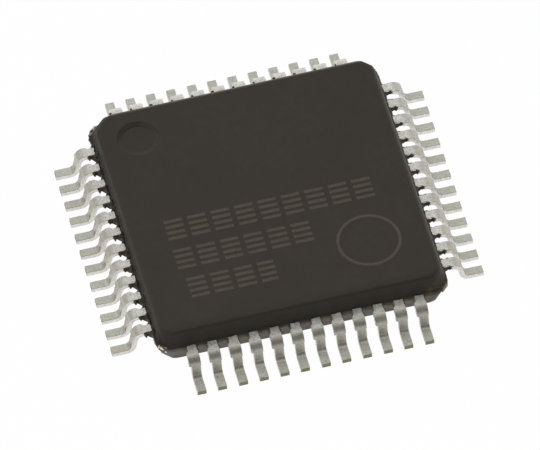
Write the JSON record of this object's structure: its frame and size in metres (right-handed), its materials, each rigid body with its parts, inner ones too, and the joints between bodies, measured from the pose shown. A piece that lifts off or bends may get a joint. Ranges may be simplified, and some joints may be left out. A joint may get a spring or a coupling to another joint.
{
  "type": "quad flat pack chip",
  "caption": "Thin square moulded integrated-circuit package with gull-wing leads on all four sides and a round lead 1 mark.",
  "frame": {"origin": "centre of the lead footprint, on the seating plane under the lead feet", "axes": "+Z away from the board, out of the top face; -X towards the row of leads 1 to 12, with lead 1 at its +Y end; leads count anticlockwise seen from above"},
  "size_m": [0.009, 0.009, 0.0011],
  "materials": {
    "mould_compound": "matt black-brown moulded epoxy",
    "tinned_copper": "matt tin plating",
    "bare_copper": "rolled copper alloy",
    "silver_epoxy": "cured silver-filled paste",
    "silicon": "polished silicon",
    "gold": "drawn gold wire"
  },
  "bodies": {
    "root": {"moulded_body": "mould_compound", "die_paddle": "bare_copper", "die_attach": "silver_epoxy", "silicon_die": "silicon", "bond_wires": "gold", "lead_01": "tinned_copper", "lead_02": "tinned_copper", "lead_03": "tinned_copper", "lead_04": "tinned_copper", "lead_05": "tinned_copper", "lead_06": "tinned_copper", "lead_07": "tinned_copper", "lead_08": "tinned_copper", "lead_09": "tinned_copper", "lead_10": "tinned_copper", "lead_11": "tinned_copper", "lead_12": "tinned_copper", "lead_13": "tinned_copper", "lead_14": "tinned_copper", "lead_15": "tinned_copper", "lead_16": "tinned_copper", "lead_17": "tinned_copper", "lead_18": "tinned_copper", "lead_19": "tinned_copper", "lead_20": "tinned_copper", "lead_21": "tinned_copper", "lead_22": "tinned_copper", "lead_23": "tinned_copper", "lead_24": "tinned_copper", "lead_25": "tinned_copper", "lead_26": "tinned_copper", "lead_27": "tinned_copper", "lead_28": "tinned_copper", "lead_29": "tinned_copper", "lead_30": "tinned_copper", "lead_31": "tinned_copper", "lead_32": "tinned_copper", "lead_33": "tinned_copper", "lead_34": "tinned_copper", "lead_35": "tinned_copper", "lead_36": "tinned_copper", "lead_37": "tinned_copper", "lead_38": "tinned_copper", "lead_39": "tinned_copper", "lead_40": "tinned_copper", "lead_41": "tinned_copper", "lead_42": "tinned_copper", "lead_43": "tinned_copper", "lead_44": "tinned_copper", "lead_45": "tinned_copper", "lead_46": "tinned_copper", "lead_47": "tinned_copper", "lead_48": "tinned_copper"}
  },
  "joints": []
}
